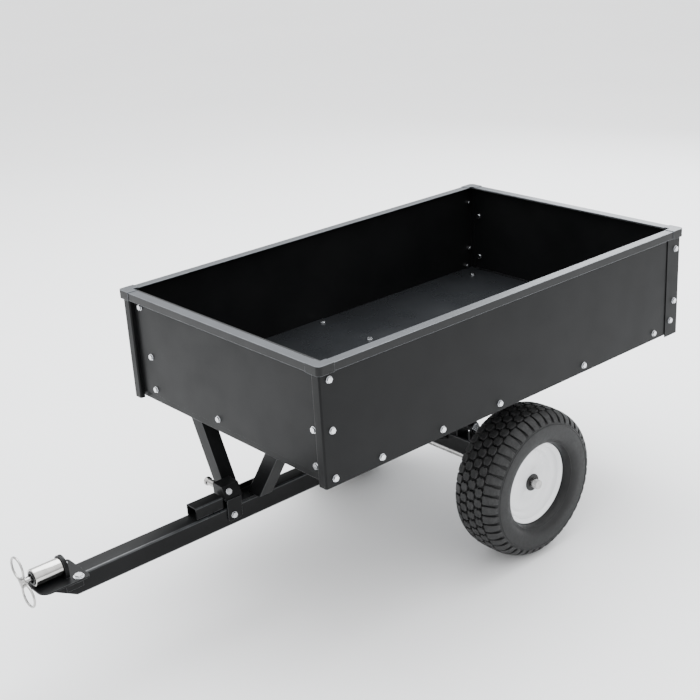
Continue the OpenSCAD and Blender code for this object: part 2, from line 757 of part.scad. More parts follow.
// A point on a rounded section, by its angle from the crown
function bulge(t, up, down, half) = [
    tyre_mid + (cos(t) > 0 ? up : -down) * pow(abs(cos(t)), 0.67),
    half * sign(sin(t)) * pow(abs(sin(t)), 0.67)];
tyre_line = concat(
    [for (t = [-148:8:148]) bulge(t, tyre_r - tyre_mid, tyre_mid - flange_d / 2 + 3, tyre_w / 2)],
    [[flange_d / 2 + 0.5, rim_half - 3.2], [bead_r + 3.6, rim_half - 3.2],
        [bead_r, rim_half - 7], [bead_r, rim_half - 15]],
    [for (t = [160:-10:-160]) bulge(t, tyre_r - tyre_mid - wall_t - 3,
        tyre_mid - flange_d / 2 - 3, tyre_w / 2 - wall_t)],
    [[bead_r, -rim_half + 15], [bead_r, -rim_half + 7], [bead_r + 3.6, -rim_half + 3.2],
        [flange_d / 2 + 0.5, -rim_half + 3.2]]);
module tyre(side) translate([axle_x, side * track / 2, axle_z]) rotate([side * -90, 0, 0])
    rotate_extrude() polygon(tyre_line);
module tyre_left() color("#242425") tyre(1);
module tyre_right() color("#242425") tyre(-1);

// A band of the wheel's steel along a line of points
function band(line, t) = concat(line, [for (i = [len(line) - 1:-1:0]) line[i] + [0, t]]);
// Wheel: flanged barrel, dished disc and hub tube, turned as one shell
wheel_t = 3;
module wheel_half_plan() {
    f = flange_d / 2;
    r = bead_r - 0.3;
    polygon([[f, rim_half], [f, rim_half - 2.5], [r + 3, rim_half - 2.8], [r, rim_half - 6],
        [r, rim_half - 18], [r - 14, rim_half - 24], [r - 14, -1], [r - 14 - wheel_t, -1],
        [r - 14 - wheel_t, rim_half - 22], [r - wheel_t, rim_half - 16], [r - wheel_t, rim_half - 3],
        [r, rim_half]]);
}
dish_s = 12;
module disc_plan() {
    r = bead_r - 0.3;
    polygon(band([[r - 15.5, dish_s], [r - 24, dish_s], [r - 32, dish_s - 6],
        [hub_r + 22, dish_s - 6], [hub_r + 9, dish_s + 2], [hub_r - 2, dish_s + 2]], wheel_t));
}
module wheel(side) translate([axle_x, side * track / 2, axle_z]) rotate([side * -90, 0, 0]) union() {
    rotate_extrude() wheel_half_plan();
    rotate_extrude() mirror([0, 1]) wheel_half_plan();
    rotate_extrude() disc_plan();
    rotate_extrude() translate([axle_d / 2 + run_fit, hub_in])
        square([hub_r - axle_d / 2 - run_fit, hub_out - hub_in]);
}
module wheel_left() color("#eceded") wheel(1);
module wheel_right() color("#eceded") wheel(-1);

// A retaining ring outside each hub and a washer inside it
module axle_washers() color("#17181a") both() {
    washer_at(hub_out + gap) difference() {
        cylinder(h = washer_t, d = washer_d);
        translate([0, 0, -1]) cylinder(h = washer_t + 2, d = groove_d);
    }
    washer_at(hub_in - washer_t - gap) difference() {
        cylinder(h = washer_t, d = washer_d);
        translate([0, 0, -1]) cylinder(h = washer_t + 2, d = axle_d);
    }
}

// ---- fasteners of the bed ----

module side_bolts() color("#c4c8cc") both() {
    column_places() bolt(2 * sheet);
    side_places() bolt(2 * sheet);
}
module front_bolts() color("#c4c8cc") front_places() bolt(2 * sheet);
module floor_bolts() color("#c4c8cc") both() {
    translate([seam_x, seam_y[0], floor_z]) bolt(2 * sheet + member_h + runner_h);
    translate([seam_x, seam_y[1], floor_z]) bolt(2 * sheet + member_h);
    translate([tail_x, tail_y, floor_z - sheet]) bolt(sheet + member_h);
}
module post_bolts() color("#c4c8cc") {
    both() post_places() bolt(post_t + sheet);
    rear_places() bolt(sheet + 2 * post_t);
}

side_panel_left();
side_panel_right();
front_panel();
rear_panel();
floor_front();
floor_rear();
rim_front();
rim_rear();
rim_left();
rim_right();
rim_corner_front_left();
rim_corner_front_right();
rim_corner_rear_left();
rim_corner_rear_right();
rear_post_left();
rear_post_right();
corner_angles();
crossmember_front();
crossmember_middle();
crossmember_rear();
runner_left();
runner_right();
hanger_left();
hanger_right();
strut_left();
strut_right();
strut_base();
latch_housing();
latch_barrel();
latch_bolt();
latch_pin();
latch_knob();
latch_spring();
side_bolts();
front_bolts();
floor_bolts();
post_bolts();
tongue();
axle_beam();
axle_rod();
axle_saddles();
tongue_gussets();
pivot_lugs();
pivot_bolts();
latch_saddle();
latch_keeper();
tongue_bolts();
stub_tube();
hitch_plate();
hitch_cleats();
hitch_barrel();
hitch_bush();
hitch_pin();
upper_ring();
lower_ring();
tyre_left();
tyre_right();
wheel_left();
wheel_right();
axle_washers();
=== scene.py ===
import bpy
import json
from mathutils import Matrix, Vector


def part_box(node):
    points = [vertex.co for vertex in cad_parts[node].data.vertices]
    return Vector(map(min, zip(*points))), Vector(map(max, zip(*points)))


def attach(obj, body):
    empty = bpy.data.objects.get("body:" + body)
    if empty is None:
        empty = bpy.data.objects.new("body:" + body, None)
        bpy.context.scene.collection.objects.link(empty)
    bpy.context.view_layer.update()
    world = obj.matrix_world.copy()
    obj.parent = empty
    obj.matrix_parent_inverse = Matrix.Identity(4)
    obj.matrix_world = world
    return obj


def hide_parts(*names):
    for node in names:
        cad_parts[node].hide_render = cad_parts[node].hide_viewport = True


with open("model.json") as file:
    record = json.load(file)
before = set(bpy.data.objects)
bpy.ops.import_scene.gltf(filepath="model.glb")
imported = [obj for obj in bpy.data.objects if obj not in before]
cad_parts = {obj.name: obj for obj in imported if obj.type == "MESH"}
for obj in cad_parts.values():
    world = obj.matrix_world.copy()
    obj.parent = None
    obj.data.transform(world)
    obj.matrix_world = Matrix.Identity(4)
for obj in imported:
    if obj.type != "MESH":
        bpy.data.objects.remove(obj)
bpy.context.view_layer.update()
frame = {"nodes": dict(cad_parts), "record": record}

import json
import math

import bmesh
import bpy
from mathutils import Matrix, Vector

NODES = frame["nodes"]
RECORD = frame["record"]
SLOT_OF = {s["node"]: s["material_slot"] for s in RECORD["subparts"]}
BODY_OF = {n: b for b, ns in RECORD["behaviour"]["bodies"].items() for n in ns}
MM = 0.001
X, Y = Vector((1, 0, 0)), Vector((0, 1, 0))


def mid(node):
    low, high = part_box(node)
    return (low + high) / 2


def size(node):
    low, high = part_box(node)
    return high - low


def linked(name, data):
    """An object for a mesh, lamp or camera, put in the scene."""
    obj = bpy.data.objects.new(name, data)
    bpy.context.scene.collection.objects.link(obj)
    return obj


# ---- camera ----

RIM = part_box("rim_corner_front_left")[1]
CAM_FROM_RIM = Vector((1.5684, 2.3666, 1.0392))
CAM_TURN = Vector((0.8706, 2.1755, -1.5076))  # axis times angle, from world to picture axes
CAM_LENS = 65.9
CAM_REACH = 200


def make_camera():
    cam = linked("camera", bpy.data.cameras.new("camera"))
    cam.data.lens = CAM_LENS
    cam.data.sensor_width = 36.0
    turn = Matrix.Rotation(CAM_TURN.length, 3, CAM_TURN.normalized()).transposed()
    flip = Matrix.Diagonal((1, -1, -1))  # picture axes have Y down and Z forward
    cam.matrix_world = Matrix.Translation(
        Vector((RIM.x, 0, RIM.z)) + CAM_FROM_RIM) @ (turn @ flip).to_4x4()
    cam.data.clip_end = CAM_REACH
    bpy.context.scene.camera = cam


make_camera()

# ---- materials ----


class Nodes:
    """Short names for the nodes that every material here uses."""

    def __init__(self, name):
        self.mat = bpy.data.materials.new(name)
        self.mat.use_nodes = True
        self.tree = self.mat.node_tree
        self.bsdf = self.tree.nodes["Principled BSDF"]
        self.place = self.add("ShaderNodeTexCoord").outputs["Object"]

    def add(self, kind, **values):
        node = self.tree.nodes.new(kind)
        for key, value in values.items():
            setattr(node, key, value)
        return node

    def link(self, a, b):
        self.tree.links.new(a, b)

    def fix(self, values):
        """Sets sockets of the shader to constants, by name."""
        for socket, value in values.items():
            self.bsdf.inputs[socket].default_value = value

    def noise(self, scale, detail=3.0, stretch=None):
        tex = self.add("ShaderNodeTexNoise")
        tex.inputs["Scale"].default_value = scale
        tex.inputs["Detail"].default_value = detail
        source = self.place
        if stretch:
            mapping = self.add("ShaderNodeMapping")
            mapping.inputs["Scale"].default_value = stretch
            self.link(source, mapping.inputs["Vector"])
            source = mapping.outputs["Vector"]
        self.link(source, tex.inputs["Vector"])
        return tex.outputs["Fac"]

    def ramp(self, source, stops):
        node = self.add("ShaderNodeValToRGB")
        ramp = node.color_ramp
        while len(ramp.elements) < len(stops):
            ramp.elements.new(0.5)
        for element, (at, colour) in zip(ramp.elements, stops):
            element.position = at
            element.color = (*colour, 1)
        self.link(source, node.inputs["Fac"])
        return node.outputs["Color"]

    def spread(self, source, low, high):
        """The middle of a noise's values, stretched to run from low to high."""
        node = self.add("ShaderNodeMapRange")
        node.inputs["From Min"].default_value = 0.3
        node.inputs["From Max"].default_value = 0.7
        node.inputs["To Min"].default_value = low
        node.inputs["To Max"].default_value = high
        self.link(source, node.inputs["Value"])
        return node.outputs["Result"]

    def bump(self, source, depth, strength=1.0, under=None):
        node = self.add("ShaderNodeBump")
        node.inputs["Distance"].default_value = depth
        node.inputs["Strength"].default_value = strength
        self.link(source, node.inputs["Height"])
        if under:
            self.link(under, node.inputs["Normal"])
        return node.outputs["Normal"]

    def edges(self, low, high):
        """White on convex edges, black elsewhere."""
        geometry = self.add("ShaderNodeNewGeometry")
        return self.ramp(geometry.outputs["Pointiness"], [(low, (0, 0, 0)), (high, (1, 1, 1))])

    def mix(self, factor, a, b):
        node = self.add("ShaderNodeMix", data_type="RGBA")
        self.link(factor, node.inputs["Factor"])
        for socket, value in ((node.inputs[6], a), (node.inputs[7], b)):
            if isinstance(value, tuple):
                socket.default_value = (*value, 1)
            else:
                self.link(value, socket)
        return node.outputs[2]


def grey(v, blue=1.0):
    """A grey whose blue is scaled, and whose green follows part of the way."""
    return (v, v * (1 + 0.4 * (blue - 1)), v * blue)


WORN_FROM, WORN_TO = 0.53, 0.62
WORN_SHARE = 0.75
COAT_ROUGHNESS = 0.12


def finish(name, dark, light, patch, rough, metal=0.0, peel=(1400, 0.000006), edge=None,
           grain=None, coat=0.0, specular=0.5):
    """A paint, plastic or metal. Its colour drifts from dark to light in patches,
    and its roughness drifts between the two values of rough. peel is the scale
    and depth of the fine surface, edge the colour that worn edges show, and
    grain the scale, stretch and depth of drawn lines."""
    n = Nodes(name)
    drift = n.noise(patch, 5.0)
    colour = n.ramp(drift, [(0.35, dark), (0.65, light)])
    if edge:
        speckle = n.ramp(n.noise(160, 6.0), [(0.42, (0, 0, 0)), (0.62, (1, 1, 1))])
        rubbed = n.add("ShaderNodeMix", data_type="RGBA", blend_type="MULTIPLY")
        rubbed.inputs["Factor"].default_value = WORN_SHARE
        n.link(n.edges(WORN_FROM, WORN_TO), rubbed.inputs[6])
        n.link(speckle, rubbed.inputs[7])
        colour = n.mix(rubbed.outputs[2], colour, edge)
    n.link(colour, n.bsdf.inputs["Base Color"])
    peel_scale, peel_depth = peel
    normal = n.bump(n.noise(peel_scale, 2.0), peel_depth)
    if grain:
        grain_scale, stretch, grain_depth = grain
        lines = n.noise(grain_scale, 2.0, stretch)
        normal = n.bump(lines, grain_depth, under=normal)
        n.link(n.spread(lines, *rough), n.bsdf.inputs["Roughness"])
    else:
        n.link(n.spread(n.noise(patch * 3, 4.0), *rough), n.bsdf.inputs["Roughness"])
    n.link(normal, n.bsdf.inputs["Normal"])
    n.fix({"Metallic": metal, "Coat Weight": coat, "Coat Roughness": COAT_ROUGHNESS,
           "Specular IOR Level": specular})
    return n.mat


ALONG_X = (0.03, 1.0, 1.0)
ALONG_Y = (1.0, 0.03, 1.0)
MATS = {
    "frame_black": finish("powder_black", grey(0.0040, 1.10), grey(0.0060, 1.08), 5.0,
                          (0.32, 0.42), specular=0.12),
    "floor_black": finish("floor_black", grey(0.0100, 1.20), grey(0.0150, 1.18), 3.0,
                          (0.24, 0.32), specular=0.25),
    "rim_grey": finish("rim_side", grey(0.0050, 1.10), grey(0.0075, 1.08), 6.0,
                       (0.30, 0.40), specular=0.2),
    "cap_black": finish("cap_black", grey(0.0050, 1.08), grey(0.0080, 1.06), 30.0,
                        (0.34, 0.46), peel=(1400, 0.00002), specular=0.2),
    "zinc": finish("zinc", grey(0.50, 1.05), grey(0.68, 1.04), 60.0, (0.16, 0.28), metal=1.0,
                   peel=(1600, 0.000004)),
    "bare_steel": finish("bare_steel", grey(0.36, 0.97), grey(0.48, 0.96), 60.0, (0.2, 0.32),
                         metal=1.0, peel=(1600, 0.000003)),
    "polished_steel": finish("polished_steel", grey(0.44, 0.95), grey(0.54, 0.94), 40.0,
                             (0.10, 0.18), metal=1.0, grain=(900, ALONG_X, 0.000003)),
    "black_plastic": finish("bush_black", grey(0.004), grey(0.007), 60.0, (0.35, 0.5),
                            peel=(1500, 0.00002), specular=0.3),
    "washer_black": finish("washer_black", grey(0.004), grey(0.007), 80.0, (0.3, 0.45),
                           peel=(1800, 0.00002), specular=0.3),
    "tyre": finish("rubber", grey(0.0050, 1.03), grey(0.0085, 1.03), 38.0, (0.42, 0.55),
                   peel=(700, 0.00004), specular=0.3),
    "wheel_white": finish("wheel_white", grey(0.86, 1.02), grey(0.90, 1.015), 7.0,
                          (0.2, 0.28), peel=(500, 0.000008), coat=0.5),
}
# The rim's top faces take a lighter, bluish colour than its sides: a painted reflection of the
# sky. The drawn lines are the top's own grain.
RIM_TOP, RIM_TOP_ACROSS = (
    finish(name, grey(0.026, 1.35), grey(0.036, 1.32), 10.0, (0.28, 0.38),
           grain=(420, stretch, 0.00001), specular=0.4)
    for name, stretch in (("rim_top", ALONG_X), ("rim_top_across", ALONG_Y)))
# A lighter grey for the rims' rounded edges: a painted highlight along the rim edges.
RIM_EDGE_HIGHLIGHT = finish("rim_edge_highlight", grey(0.10, 1.2), grey(0.15, 1.18), 20.0, (0.25, 0.35))
# A lighter, glossier grey for rounded edges and tube corners: a painted highlight along the
# edges.
EDGE_HIGHLIGHT = finish("edge_highlight", grey(0.012, 1.2), grey(0.030, 1.15), 30.0, (0.26, 0.36))
TREAD = finish("tread", grey(0.0080, 1.03), grey(0.0150, 1.03), 60.0, (0.5, 0.66),
               peel=(420, 0.0001), edge=grey(0.03), specular=0.35)
for node_name, obj in NODES.items():
    obj.data.materials.clear()
    obj.data.materials.append(MATS[SLOT_OF[node_name]])

# ---- mesh tools ----

POST_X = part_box("side_panel_left")[1].x
WELD = 1e-5
FLAT = 0.01
EASED_OVER = math.radians(38)
CORNER_STEPS = 5
TURNED_SHARP = 0.7


def from_bmesh(name, bm, mats):
    """An object with a bmesh's faces. The bmesh is freed."""
    mesh = bpy.data.meshes.new(name)
    bmesh.ops.recalc_face_normals(bm, faces=bm.faces)
    bm.to_mesh(mesh)
    bm.free()
    for mat in mats:
        mesh.materials.append(mat)
    return linked(name, mesh)


def smoothed(obj):
    polygons = obj.data.polygons
    polygons.foreach_set("use_smooth", [True] * len(polygons))


def made(name, bm, node, mats=()):
    """A new piece that stands for a CAD node and moves with its body."""
    obj = from_bmesh(name, bm, mats or (MATS[SLOT_OF[node]],))
    smoothed(obj)
    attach(obj, BODY_OF[node])
    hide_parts(node)
    return obj


def sharpen(obj, angle=0.6):
    """Smooth shading that keeps hard edges over an angle, in radians."""
    bm = bmesh.new()
    bm.from_mesh(obj.data)
    for edge in bm.edges:
        edge.smooth = len(edge.link_faces) != 2 or edge.calc_face_angle(0) < angle
    bm.to_mesh(obj.data)
    bm.free()


def apply_all(obj):
    """Applies an object's modifiers to its mesh."""
    bpy.context.view_layer.update()
    shown = obj.evaluated_get(bpy.context.evaluated_depsgraph_get())
    mesh = bpy.data.meshes.new_from_object(shown)
    obj.modifiers.clear()
    obj.data = mesh


def fold_edge(edge):
    """An upright outer edge of the folded posts at the bed's front."""
    a, b = edge.verts[0].co, edge.verts[1].co
    return (abs(a.z - b.z) > 0.2 and abs(a.x - b.x) < MM / 10 and abs(a.y - b.y) < MM / 10
            and a.x > POST_X - MM / 2 and edge.is_manifold)


def eased(node, width, mats=(), pick=None, edge=EDGE_HIGHLIGHT, corners=0.0):
    """A copy of a CAD node with its faces joined and its edges rounded. The
    rounding takes the last material. Upright edges may take a larger radius."""
    bm = bmesh.new()
    bm.from_mesh(NODES[node].data)
    bmesh.ops.remove_doubles(bm, verts=bm.verts, dist=WELD)
    bmesh.ops.dissolve_limit(bm, angle_limit=FLAT, verts=bm.verts, edges=bm.edges)
    for face in bm.faces:
        face.normal_update()
        face.material_index = pick(face) if pick else 0
    if corners:
        upright = [e for e in bm.edges if fold_edge(e)]
        bmesh.ops.bevel(bm, geom=upright, offset=corners, segments=CORNER_STEPS, profile=0.5,
                        affect="EDGES")
    obj = made(node + "_skin", bm, node, (*(mats or (MATS[SLOT_OF[node]],)), edge))
    bevel = obj.modifiers.new("ease", "BEVEL")
    bevel.width = width
    bevel.segments = 2
    bevel.limit_method = "ANGLE"
    bevel.angle_limit = EASED_OVER
    bevel.use_clamp_overlap = True
    bevel.harden_normals = False
    bevel.material = len(obj.data.materials) - 1
    apply_all(obj)
    smoothed(obj)
    weight = obj.modifiers.new("even", "WEIGHTED_NORMAL")
    weight.keep_sharp = False
    apply_all(obj)


def lathe(bm, profile, origin, axis, around=96):
    """Turns a closed outline, [(radius, distance along axis), ...], about a line."""
    axis = axis.normalized()
    side = axis.orthogonal().normalized()
    other = axis.cross(side)
    rings = []
    for k in range(around):
        a = 2 * math.pi * k / around
        out = math.cos(a) * side + math.sin(a) * other
        rings.append([bm.verts.new(origin + r * out + s * axis) for r, s in profile])
    for k in range(around):
        one, two = rings[k], rings[(k + 1) % around]
        for i in range(len(profile)):
            j = (i + 1) % len(profile)
            bm.faces.new((one[i], two[i], two[j], one[j]))


def rounded(points, radius, steps=4):
    """A closed profile with each corner rounded by up to a radius."""
    out = []
    count = len(points)
    for i, p in enumerate(points):
        p = Vector(p)
        a, b = Vector(points[i - 1]) - p, Vector(points[(i + 1) % count]) - p
        cut = min(radius, a.length * 0.45, b.length * 0.45)
        start, end = p + a.normalized() * cut, p + b.normalized() * cut
        for k in range(steps + 1):
            t = k / steps
            out.append(tuple((1 - t) ** 2 * start + 2 * t * (1 - t) * p + t * t * end))
    return out


def turned(name, node, profile, axis, radius, around=96, base=None):
    """A lathed piece with rounded corners, about its node's middle or a base."""
    bm = bmesh.new()
    lathe(bm, rounded(profile, radius), base if base is not None else mid(node), axis, around)
    sharpen(made(name, bm, node), TURNED_SHARP)


# ---- bed ----

SHEET_EDGE = 0.7 * MM
TUBE_EDGE = 0.9 * MM
BOLT_EDGE = 0.6 * MM
CAP_EDGE = 1.1 * MM
POST_FOLD = 4.5 * MM
for name in ("side_panel_left", "side_panel_right"):
    eased(name, SHEET_EDGE, corners=POST_FOLD)
for name in ("front_panel", "rear_panel", "floor_front", "floor_rear", "rear_post_left",
             "rear_post_right", "corner_angles", "strut_base"):
    eased(name, SHEET_EDGE)
for name in ("crossmember_front", "crossmember_middle", "crossmember_rear", "strut_left",
             "strut_right", "hanger_left", "hanger_right", "latch_housing", "latch_saddle",
             "latch_keeper", "hitch_plate", "hitch_cleats", "tongue_gussets", "pivot_lugs",
             "axle_saddles"):
    eased(name, TUBE_EDGE)
for name in ("side_bolts", "front_bolts", "floor_bolts", "post_bolts", "latch_bolt",
             "tongue_bolts", "pivot_bolts"):
    eased(name, BOLT_EDGE, edge=MATS["zinc"])


# Picks the upward faces, which take the painted sky reflection of the rim top.
def faces_up(face):
    return 1 if face.normal.z > 0.9 else 0


for names, width, side_mat, top_sheen_mat in (
        (("rim_left", "rim_right"), TUBE_EDGE, "rim_grey", RIM_TOP),
        (("rim_front", "rim_rear"), TUBE_EDGE, "rim_grey", RIM_TOP_ACROSS),
        (("rim_corner_front_left", "rim_corner_front_right", "rim_corner_rear_left",
          "rim_corner_rear_right"), CAP_EDGE, "cap_black", RIM_TOP)):
    for name in names:
        eased(name, width, (MATS[side_mat], top_sheen_mat), faces_up, RIM_EDGE_HIGHLIGHT)

# ---- square tubes ----

TUBE_WALL = 3 * MM
TUBE_ROUND = 4.5 * MM
STUB_WALL = 2.5 * MM
STUB_ROUND = 3.5 * MM
RUNNER_WALL = 2 * MM
RUNNER_ROUND = 3 * MM
NOSE_SLOPE = 88 * MM
LEAST_ROUND = 0.8 * MM
ROUND_STEPS = 5


def square_ring(w, h, r):
    """A rectangle with round corners, centred on nought."""
    out = []
    for sx, sy, a0 in ((1, 1, 0), (-1, 1, 90), (-1, -1, 180), (1, -1, 270)):
        for k in range(ROUND_STEPS + 1):
            a = math.radians(a0 + 90 * k / ROUND_STEPS)
            out.append((sx * (w / 2 - r) + r * math.cos(a), sy * (h / 2 - r) + r * math.sin(a)))
    return out


def square_tube(node, along, wall, radius, nose=0.0):
    """A square tube with rounded corners along X or Y. Its far end may slope
    back underneath. The rounded corners take a lighter material, a painted highlight."""
    low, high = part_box(node)
    centre = (low + high) / 2
    start, end = (low.x, high.x) if along is X else (low.y, high.y)
    across = high.y - low.y if along is X else high.x - low.x
    tall = high.z - low.z
    bm = bmesh.new()
    loops = []
    for shrink, r in ((0, radius), (wall, max(radius - wall, LEAST_ROUND))):
        outline = square_ring(across - 2 * shrink, tall - 2 * shrink, r)
        for at_end in (False, True):
            row = []
            for u, v in outline:
                at = start
                if at_end:
                    at = end - nose * (tall / 2 - v) / tall
                spot = (at, centre.y + u) if along is X else (centre.x + u, at)
                row.append(bm.verts.new((*spot, centre.z + v)))
            loops.append(row)
    outer0, outer1, inner0, inner1 = loops
    for a, b in ((outer0, outer1), (outer1, inner1), (inner1, inner0), (inner0, outer0)):
        for i in range(len(a)):
            j = (i + 1) % len(a)
            face = bm.faces.new((a[i], a[j], b[j], b[i]))
            # The corner arcs of the outer wall take the lighter edge material, a painted
            # highlight.
            if a is outer0 and (i + 1) % (ROUND_STEPS + 1):
                face.material_index = 1
    sharpen(made(node + "_tube", bm, node, (MATS[SLOT_OF[node]], EDGE_HIGHLIGHT)))


square_tube("tongue", X, TUBE_WALL, TUBE_ROUND, NOSE_SLOPE)
square_tube("axle_beam", Y, TUBE_WALL, TUBE_ROUND)
square_tube("stub_tube", X, STUB_WALL, STUB_ROUND)
square_tube("runner_left", X, RUNNER_WALL, RUNNER_ROUND)
square_tube("runner_right", X, RUNNER_WALL, RUNNER_ROUND)

# ---- hitch ----

PIN_R = 6 * MM
BARREL_ROUND = 1.6 * MM
BUSH_ROUND = 0.8 * MM
SEAT_WALL = 5 * MM
SEAT_DEPTH = 14 * MM
RING_STEPS = 20


def ring_piece(node):
    """A wire ring that stands across X."""
    low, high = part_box(node)
    wire = (high.x - low.x) / 2
    major = (high.z - low.z) / 2 - wire
    bm = bmesh.new()
    profile = [(major + wire * math.cos(2 * math.pi * k / RING_STEPS),
                wire * math.sin(2 * math.pi * k / RING_STEPS)) for k in range(RING_STEPS)]
    lathe(bm, profile, mid(node), X)
    made(node + "_wire", bm, node)


ring_piece("upper_ring")
ring_piece("lower_ring")
half = size("hitch_barrel").x / 2
outer = size("hitch_barrel").y / 2
bush_r = size("hitch_bush").y / 2
turned("barrel_sleeve", "hitch_barrel",
       [(bush_r, -half), (outer, -half), (outer, half), (bush_r, half)], X,
       BARREL_ROUND)
half = size("hitch_bush").x / 2
seat_r, seat_end = bush_r - SEAT_WALL, half - SEAT_DEPTH
turned("bush_sleeve", "hitch_bush",
       [(PIN_R, -half), (bush_r, -half), (bush_r, half), (seat_r, half), (seat_r, seat_end),
        (PIN_R, seat_end)], X, BUSH_ROUND)
eased("hitch_pin", SHEET_EDGE, edge=MATS["bare_steel"])

# ---- latch ----

KNOB_R = 11.5 * MM
KNOB_BORE = 3.9 * MM
KNOB_HALF = 7 * MM
KNOB_GRIP = 3 * MM
KNOB_INNER, KNOB_OUTER = 7 * MM, 8 * MM
KNOB_ROUND = 1.4 * MM
KNOB_AROUND = 48
PIN_EDGE = 0.5 * MM

latch_pin = mid("latch_pin")
knob_base = Vector((latch_pin.x, mid("latch_knob").y, latch_pin.z))
turned("knob_turned", "latch_knob",
       [(KNOB_BORE, -KNOB_HALF), (KNOB_INNER, -KNOB_HALF), (KNOB_R, -KNOB_GRIP),
        (KNOB_R, KNOB_GRIP), (KNOB_OUTER, KNOB_HALF), (KNOB_BORE, KNOB_HALF)],
       -Y, KNOB_ROUND, KNOB_AROUND, knob_base)
eased("latch_barrel", BOLT_EDGE, edge=MATS["bare_steel"])
eased("latch_pin", PIN_EDGE, edge=MATS["bare_steel"])

# ---- wheels ----

TYRE_R = size("tyre_left").z / 2
TYRE_HALF = size("tyre_left").y / 2
FLANGE_R = size("wheel_left").z / 2
WHEEL_HALF = size("wheel_left").y / 2
HUB_IN = size("axle_rod").x / 2
BEAD_R = FLANGE_R - 10.5 * MM
HUB_TO = 60
TYRE_MID = (TYRE_R + BEAD_R) / 2
TYRE_AROUND = 176
RING_AROUND = 128
WHEEL_AROUND = 128
TYRE_SHARP, WHEEL_SHARP = 0.8, 0.75
ROD_EDGE = 1.6 * MM
INSIDE_CAD = 0.2 * MM
SQUARENESS = 0.67
LUGS = 44
GROOVE = 7.5 * MM
CROWN_TO, WALL_TO, TURN_STEP = 60, 148, 4
GROOVE_FADES = 16
WALL_RINGS = ((169 * MM, 0.9 * MM), (173.5 * MM, 0.3 * MM), (121 * MM, 0.6 * MM))


def section(t, sink=0.0):
    """A point on the tyre's section by its angle from the crown, in degrees."""
    c, s = math.cos(math.radians(t)), math.sin(math.radians(t))
    up = TYRE_R - TYRE_MID - sink - INSIDE_CAD
    down = TYRE_MID - FLANGE_R + 3 * MM
    r = TYRE_MID + (up if c > 0 else -down) * abs(c) ** SQUARENESS
    half = TYRE_HALF - sink * 0.55 - INSIDE_CAD
    return r, half * math.copysign(abs(s) ** SQUARENESS, s)


def tyre_profile():
    """The carcass between the blocks: a sunk crown, then full walls to the bead."""
    line = [section(t, GROOVE) for t in range(-CROWN_TO, CROWN_TO + 1, TURN_STEP)]
    wall = []
    for t in range(CROWN_TO + TURN_STEP, WALL_TO + 1, TURN_STEP):
        fade = min(1.0, (t - CROWN_TO) / GROOVE_FADES)
        wall.append(section(t, GROOVE * (1 - fade)))
    bead = [(FLANGE_R + 0.6 * MM, WHEEL_HALF - 3.0 * MM),
            (FLANGE_R - 4 * MM, WHEEL_HALF - 3.6 * MM)]
    side = wall + bead
    return [(r, -s) for r, s in reversed(side)] + line + side


class Curve:
    """The crown of the tyre by distance along it from the centre plane."""

    def __init__(self):
        self.at, self.points = [0.0], [section(0)]
        for i in range(1, 901):
            p = section(i / 10)
            self.at.append(self.at[-1] + math.dist(p, self.points[-1]))
            self.points.append(p)

    def __call__(self, w, depth):
        """The point at distance w from the centre plane, depth below the crown."""
        d = abs(w)
        k = min(range(len(self.at)), key=lambda i: abs(self.at[i] - d))
        k = max(1, min(k, len(self.at) - 2))
        (r0, s0), (r1, s1) = self.points[k - 1], self.points[k + 1]
        length = math.hypot(r1 - r0, s1 - s0) or 1
        nr, ns = (s1 - s0) / length, -(r1 - r0) / length
        r, s = self.points[k]
        r, s = r - nr * depth, s - ns * depth
        return (r, s if w >= 0 else -s)


CURVE = Curve()
PITCH = 2 * math.pi * TYRE_R / LUGS
BLOCK_EASE = 1.1 * MM
BLOCK_SHOULDER = 1.0 * MM
BLOCK_LEAST = 0.5 * MM
ROW_PITCH = 25 * MM
BLOCK_W = 11.0 * MM
BLOCK_A = PITCH * 0.42
BLOCK_OUTLINE = ((-1.0, 0.52), (-0.45, 1.0), (0.0, 0.8), (0.45, 1.0), (1.0, 0.52))
SIDE_LUG = ((39.0, 0.36), (44.0, 0.42), (52.0, 0.42), (60.0, 0.40), (68.0, 0.36),
            (76.0, 0.33), (84.0, 0.31))


def tread_block(bm, centre_angle, rows, origin, depth):
    """A tread block with an eased top. rows are (distance from the centre plane
    along the crown, half width round the tyre)."""
    middle = sum(w for w, _ in rows) / len(rows)
    reach = max(abs(w - middle) for w, _ in rows)
    layers = []
    for sink, pull in ((depth, 0), (BLOCK_SHOULDER, 0), (0, BLOCK_EASE)):
        layer = []
        for w, wide in rows:
            r, s = CURVE(middle + (w - middle) * (1 - pull / reach), sink)
            pair = []
            for way in (-1, 1):
                a = centre_angle + way * max(wide - pull, BLOCK_LEAST) / TYRE_R
                pair.append(bm.verts.new(origin + Vector(
                    (r * math.cos(a), s, r * math.sin(a)))))
            layer.append(pair)
        layers.append(layer)
    for lower, upper in zip(layers, layers[1:]):
        edge_low = [p[0] for p in lower] + [p[1] for p in reversed(lower)]
        edge_up = [p[0] for p in upper] + [p[1] for p in reversed(upper)]
        for i in range(len(edge_low)):
            j = (i + 1) % len(edge_low)
            bm.faces.new((edge_low[i], edge_low[j], edge_up[j], edge_up[i]))
    for a, b in zip(layers[-1], layers[-1][1:]):
        bm.faces.new((a[0], a[1], b[1], b[0]))


def tread(bm, origin):
    """Three rows of six-sided blocks, the outer two half a pitch round, and a
    row of lugs over each shoulder."""
    for k in range(LUGS):
        turn = 2 * math.pi * k / LUGS
        for row, shift in ((-1, 0.5), (0, 0.0), (1, 0.5)):
            rows = [(row * ROW_PITCH + BLOCK_W * p, BLOCK_A * q) for p, q in BLOCK_OUTLINE]
            tread_block(bm, turn + shift * 2 * math.pi / LUGS, rows, origin, GROOVE + 1 * MM)
        for side in (-1, 1):
            rows = [(side * w * MM, PITCH * q) for w, q in SIDE_LUG]
            tread_block(bm, turn, rows, origin, GROOVE * 0.9)


